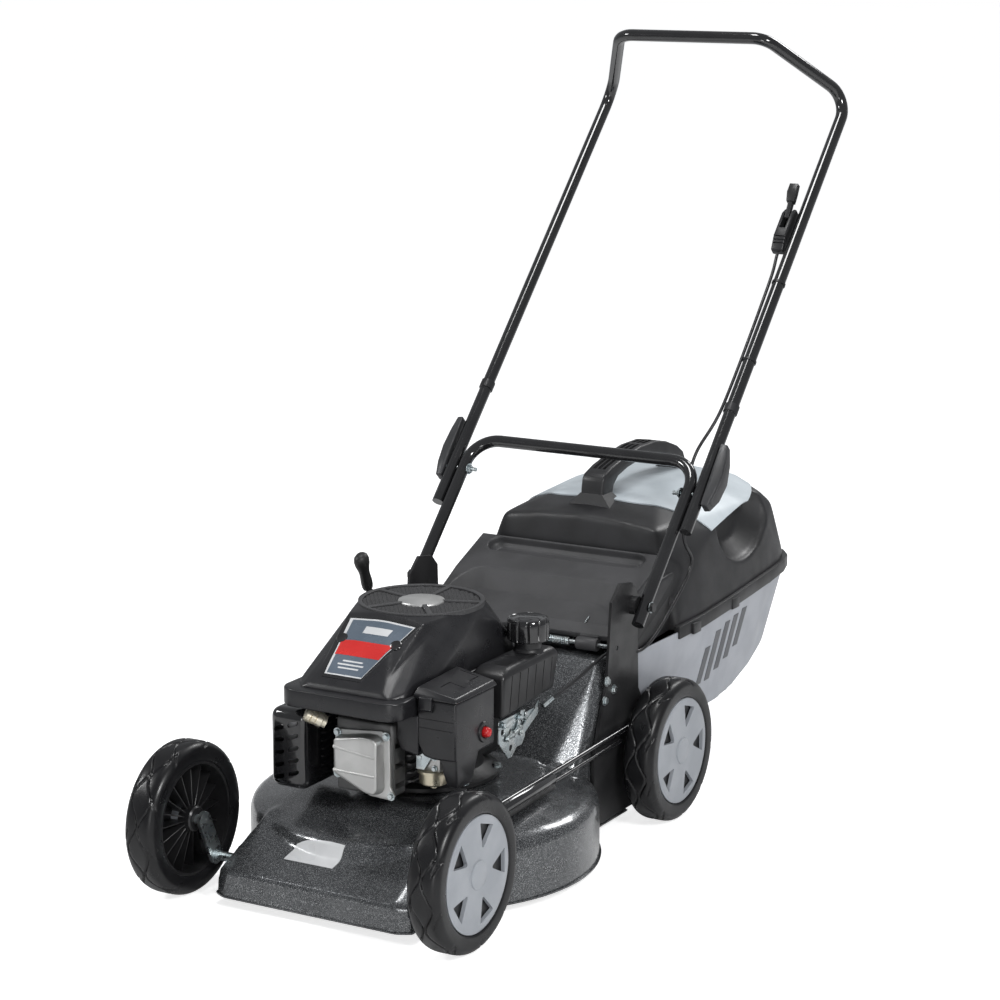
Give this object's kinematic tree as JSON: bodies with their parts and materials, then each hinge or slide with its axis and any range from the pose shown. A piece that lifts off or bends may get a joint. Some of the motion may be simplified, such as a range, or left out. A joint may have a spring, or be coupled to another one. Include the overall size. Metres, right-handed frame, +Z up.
{
  "type": "rotary lawn mower",
  "caption": "Walk-behind petrol rotary lawn mower with swing-back blades, rear grass catcher, height lever and folding tube handle.",
  "frame": {"origin": "on the ground under the middle of the whole mower's box", "axes": "-Y is the front, +X is the operator's left, +Z is up"},
  "size_m": [0.477, 1.2642, 1.0784],
  "materials": {
    "deck_shell": "grey hammertone enamel with silver speckle",
    "side_plate_l": "gloss black",
    "side_plate_r": "gloss black",
    "engine_block": "as cast",
    "cylinder_head": "as cast, dark",
    "rocker_cover": "silver die casting",
    "muffler": "aluminised",
    "muffler_guard": "gloss black",
    "spark_plug": "plated",
    "engine_cowl": "satin black",
    "fan_grille": "satin black",
    "cowl_base": "satin black",
    "carburettor": "die cast",
    "air_filter_box": "satin black",
    "air_filter_lid": "satin black",
    "air_filter_element": "open-cell foam",
    "fuel_tank": "satin black",
    "fuel_cap": "satin black",
    "primer_bulb": "red",
    "throttle_plate": "bright zinc",
    "throttle_arm": "bright zinc",
    "starter_grip": "satin black",
    "flywheel_fan": "as cast",
    "crankshaft": "turned",
    "blade_disc": "pressed",
    "flap_rod": "bright zinc",
    "flap_spring": "spring wire",
    "rear_flap": "dark grey",
    "catcher_bin": "light grey",
    "catcher_top": "satin black",
    "catcher_grip": "ribbed black",
    "lower_handle": "gloss black tube",
    "upper_handle": "gloss black tube",
    "cam_lever_l": "satin black",
    "cam_lever_r": "satin black",
    "throttle_control": "satin black",
    "throttle_lever": "satin black",
    "throttle_cable": "black sheath",
    "front_axle": "bright zinc",
    "rear_axle": "bright zinc",
    "height_link": "bright zinc",
    "height_sleeve": "black sleeve",
    "height_lever": "gloss black",
    "lever_knob": "black",
    "swing_blade_1": "hardened",
    "swing_blade_2": "hardened",
    "swing_blade_3": "hardened",
    "swing_blade_4": "hardened",
    "tyre_front_l": "black rubber",
    "rim_front_l": "black",
    "wheel_cap_front_l": "light grey",
    "tyre_front_r": "black rubber",
    "rim_front_r": "black",
    "wheel_cap_front_r": "light grey",
    "tyre_rear_l": "black rubber",
    "rim_rear_l": "black",
    "wheel_cap_rear_l": "light grey",
    "tyre_rear_r": "black rubber",
    "rim_rear_r": "black",
    "wheel_cap_rear_r": "light grey"
  },
  "bodies": {
    "chassis": {"deck_shell": "deck_shell", "side_plate_l": "side_plate_l", "side_plate_r": "side_plate_r", "engine_block": "engine_block", "cylinder_head": "cylinder_head", "rocker_cover": "rocker_cover", "muffler": "muffler", "muffler_guard": "muffler_guard", "spark_plug": "spark_plug", "engine_cowl": "engine_cowl", "fan_grille": "fan_grille", "cowl_base": "cowl_base", "carburettor": "carburettor", "air_filter_box": "air_filter_box", "air_filter_element": "air_filter_element", "fuel_tank": "fuel_tank", "throttle_plate": "throttle_plate", "flap_rod": "flap_rod", "flap_spring": "flap_spring", "throttle_cable": "throttle_cable"},
    "filter_lid": {"air_filter_lid": "air_filter_lid"},
    "fuel_cap": {"fuel_cap": "fuel_cap"},
    "primer": {"primer_bulb": "primer_bulb"},
    "throttle_arm": {"throttle_arm": "throttle_arm"},
    "starter": {"starter_grip": "starter_grip"},
    "rotor": {"flywheel_fan": "flywheel_fan", "crankshaft": "crankshaft", "blade_disc": "blade_disc"},
    "front_axle": {"front_axle": "front_axle"},
    "rear_axle": {"rear_axle": "rear_axle"},
    "height_link": {"height_link": "height_link", "height_sleeve": "height_sleeve"},
    "height_lever": {"height_lever": "height_lever", "lever_knob": "lever_knob"},
    "rear_flap": {"rear_flap": "rear_flap"},
    "catcher": {"catcher_bin": "catcher_bin", "catcher_top": "catcher_top", "catcher_grip": "catcher_grip"},
    "lower_handle": {"lower_handle": "lower_handle"},
    "upper_handle": {"upper_handle": "upper_handle", "throttle_control": "throttle_control"},
    "throttle_lever": {"throttle_lever": "throttle_lever"},
    "cam_lever_l": {"cam_lever_l": "cam_lever_l"},
    "cam_lever_r": {"cam_lever_r": "cam_lever_r"},
    "blade_1": {"swing_blade_1": "swing_blade_1"},
    "blade_2": {"swing_blade_2": "swing_blade_2"},
    "blade_3": {"swing_blade_3": "swing_blade_3"},
    "blade_4": {"swing_blade_4": "swing_blade_4"},
    "wheel_front_l": {"tyre_front_l": "tyre_front_l", "rim_front_l": "rim_front_l", "wheel_cap_front_l": "wheel_cap_front_l"},
    "wheel_front_r": {"tyre_front_r": "tyre_front_r", "rim_front_r": "rim_front_r", "wheel_cap_front_r": "wheel_cap_front_r"},
    "wheel_rear_l": {"tyre_rear_l": "tyre_rear_l", "rim_rear_l": "rim_rear_l", "wheel_cap_rear_l": "wheel_cap_rear_l"},
    "wheel_rear_r": {"tyre_rear_r": "tyre_rear_r", "rim_rear_r": "rim_rear_r", "wheel_cap_rear_r": "wheel_cap_rear_r"}
  },
  "joints": [
    {"name": "height_lever_swing", "type": "hinge", "parent": "chassis", "child": "height_lever", "pos_m": [-0.1655, -0.07959, 0.135], "axis": [1, 0, 0], "range_deg": [-18, 0]},
    {"name": "front_crank", "type": "hinge", "parent": "chassis", "child": "front_axle", "pos_m": [0, -0.50559, 0.047], "axis": [1, 0, 0], "range_deg": [0, 54]},
    {"name": "rear_crank", "type": "hinge", "parent": "chassis", "child": "rear_axle", "pos_m": [0, 0.08041, 0.064], "axis": [1, 0, 0], "range_deg": [0, 54]},
    {"name": "link_swing", "type": "hinge", "parent": "front_axle", "child": "height_link", "pos_m": [0.1745, -0.43959, 0.1345], "axis": [1, 0, 0], "range_deg": [-54, 0]},
    {"name": "wheel_front_l_spin", "type": "hinge", "parent": "front_axle", "child": "wheel_front_l", "pos_m": [0.235, -0.53059, 0.1015], "axis": [1, 0, 0], "continuous": true},
    {"name": "wheel_front_r_spin", "type": "hinge", "parent": "front_axle", "child": "wheel_front_r", "pos_m": [-0.235, -0.53059, 0.1015], "axis": [1, 0, 0], "continuous": true},
    {"name": "wheel_rear_l_spin", "type": "hinge", "parent": "rear_axle", "child": "wheel_rear_l", "pos_m": [0.226, 0.05141, 0.1015], "axis": [1, 0, 0], "continuous": true},
    {"name": "wheel_rear_r_spin", "type": "hinge", "parent": "rear_axle", "child": "wheel_rear_r", "pos_m": [-0.226, 0.05141, 0.1015], "axis": [1, 0, 0], "continuous": true},
    {"name": "blade_shaft_spin", "type": "hinge", "parent": "chassis", "child": "rotor", "pos_m": [0, -0.27259, 0.034], "axis": [0, 0, 1], "continuous": true},
    {"name": "blade_1_swing", "type": "hinge", "parent": "rotor", "child": "blade_1", "pos_m": [0.07071, -0.20188, 0.034], "axis": [0, 0, 1], "range_deg": [-75, 75]},
    {"name": "blade_2_swing", "type": "hinge", "parent": "rotor", "child": "blade_2", "pos_m": [-0.07071, -0.20188, 0.034], "axis": [0, 0, 1], "range_deg": [-75, 75]},
    {"name": "blade_3_swing", "type": "hinge", "parent": "rotor", "child": "blade_3", "pos_m": [-0.07071, -0.3433, 0.034], "axis": [0, 0, 1], "range_deg": [-75, 75]},
    {"name": "blade_4_swing", "type": "hinge", "parent": "rotor", "child": "blade_4", "pos_m": [0.07071, -0.3433, 0.034], "axis": [0, 0, 1], "range_deg": [-75, 75]},
    {"name": "throttle_lever_swing", "type": "hinge", "parent": "upper_handle", "child": "throttle_lever", "pos_m": [0.1826, 0.46666, 0.80471], "axis": [1, 0, 0], "range_deg": [0, 50]},
    {"name": "throttle_arm_swing", "type": "hinge", "parent": "chassis", "child": "throttle_arm", "pos_m": [0.1255, -0.23359, 0.19], "axis": [1, 0, 0], "range_deg": [-25, 0]},
    {"name": "primer_press", "type": "slide", "parent": "chassis", "child": "primer", "axis": [-1, 0, 0], "range_m": [0, 0.004], "stiffness_N_per_m": 300},
    {"name": "fuel_cap_turn", "type": "hinge", "parent": "chassis", "child": "fuel_cap", "pos_m": [0.1145, -0.19459, 0.32], "axis": [0, 0, 1], "range_deg": [0, 90]},
    {"name": "filter_lid_open", "type": "hinge", "parent": "chassis", "child": "filter_lid", "pos_m": [0.1175, -0.33709, 0.2823], "axis": [1, 0, 0], "range_deg": [-95, 0]},
    {"name": "starter_pull", "type": "slide", "parent": "chassis", "child": "starter", "axis": [0, 0.5, 0.866], "range_m": [0, 0.35], "stiffness_N_per_m": 20},
    {"name": "flap_open", "type": "hinge", "parent": "chassis", "child": "rear_flap", "pos_m": [0, -0.03259, 0.262], "axis": [1, 0, 0], "range_deg": [0, 60]},
    {"name": "catcher_lift_off", "type": "slide", "parent": "chassis", "child": "catcher", "axis": [0, 1, 0], "range_m": [0, 0.6]},
    {"name": "lower_handle_fold", "type": "hinge", "parent": "chassis", "child": "lower_handle", "pos_m": [0, 0.01041, 0.314], "axis": [1, 0, 0], "range_deg": [0, 40]},
    {"name": "upper_handle_fold", "type": "hinge", "parent": "lower_handle", "child": "upper_handle", "pos_m": [0, 0.13936, 0.44942], "axis": [1, 0, 0], "range_deg": [0, 110]},
    {"name": "cam_lever_l_turn", "type": "hinge", "parent": "upper_handle", "child": "cam_lever_l", "pos_m": [0, 0.13936, 0.44942], "axis": [1, 0, 0], "range_deg": [0, 120]},
    {"name": "cam_lever_r_turn", "type": "hinge", "parent": "upper_handle", "child": "cam_lever_r", "pos_m": [0, 0.13936, 0.44942], "axis": [1, 0, 0], "range_deg": [0, 120]}
  ],
  "couplings": [
    {"joint": "front_crank", "follows": "height_lever_swing", "ratio": -3},
    {"joint": "rear_crank", "follows": "height_lever_swing", "ratio": -3},
    {"joint": "link_swing", "follows": "height_lever_swing", "ratio": 3},
    {"joint": "throttle_arm_swing", "follows": "throttle_lever_swing", "ratio": -0.5}
  ]
}
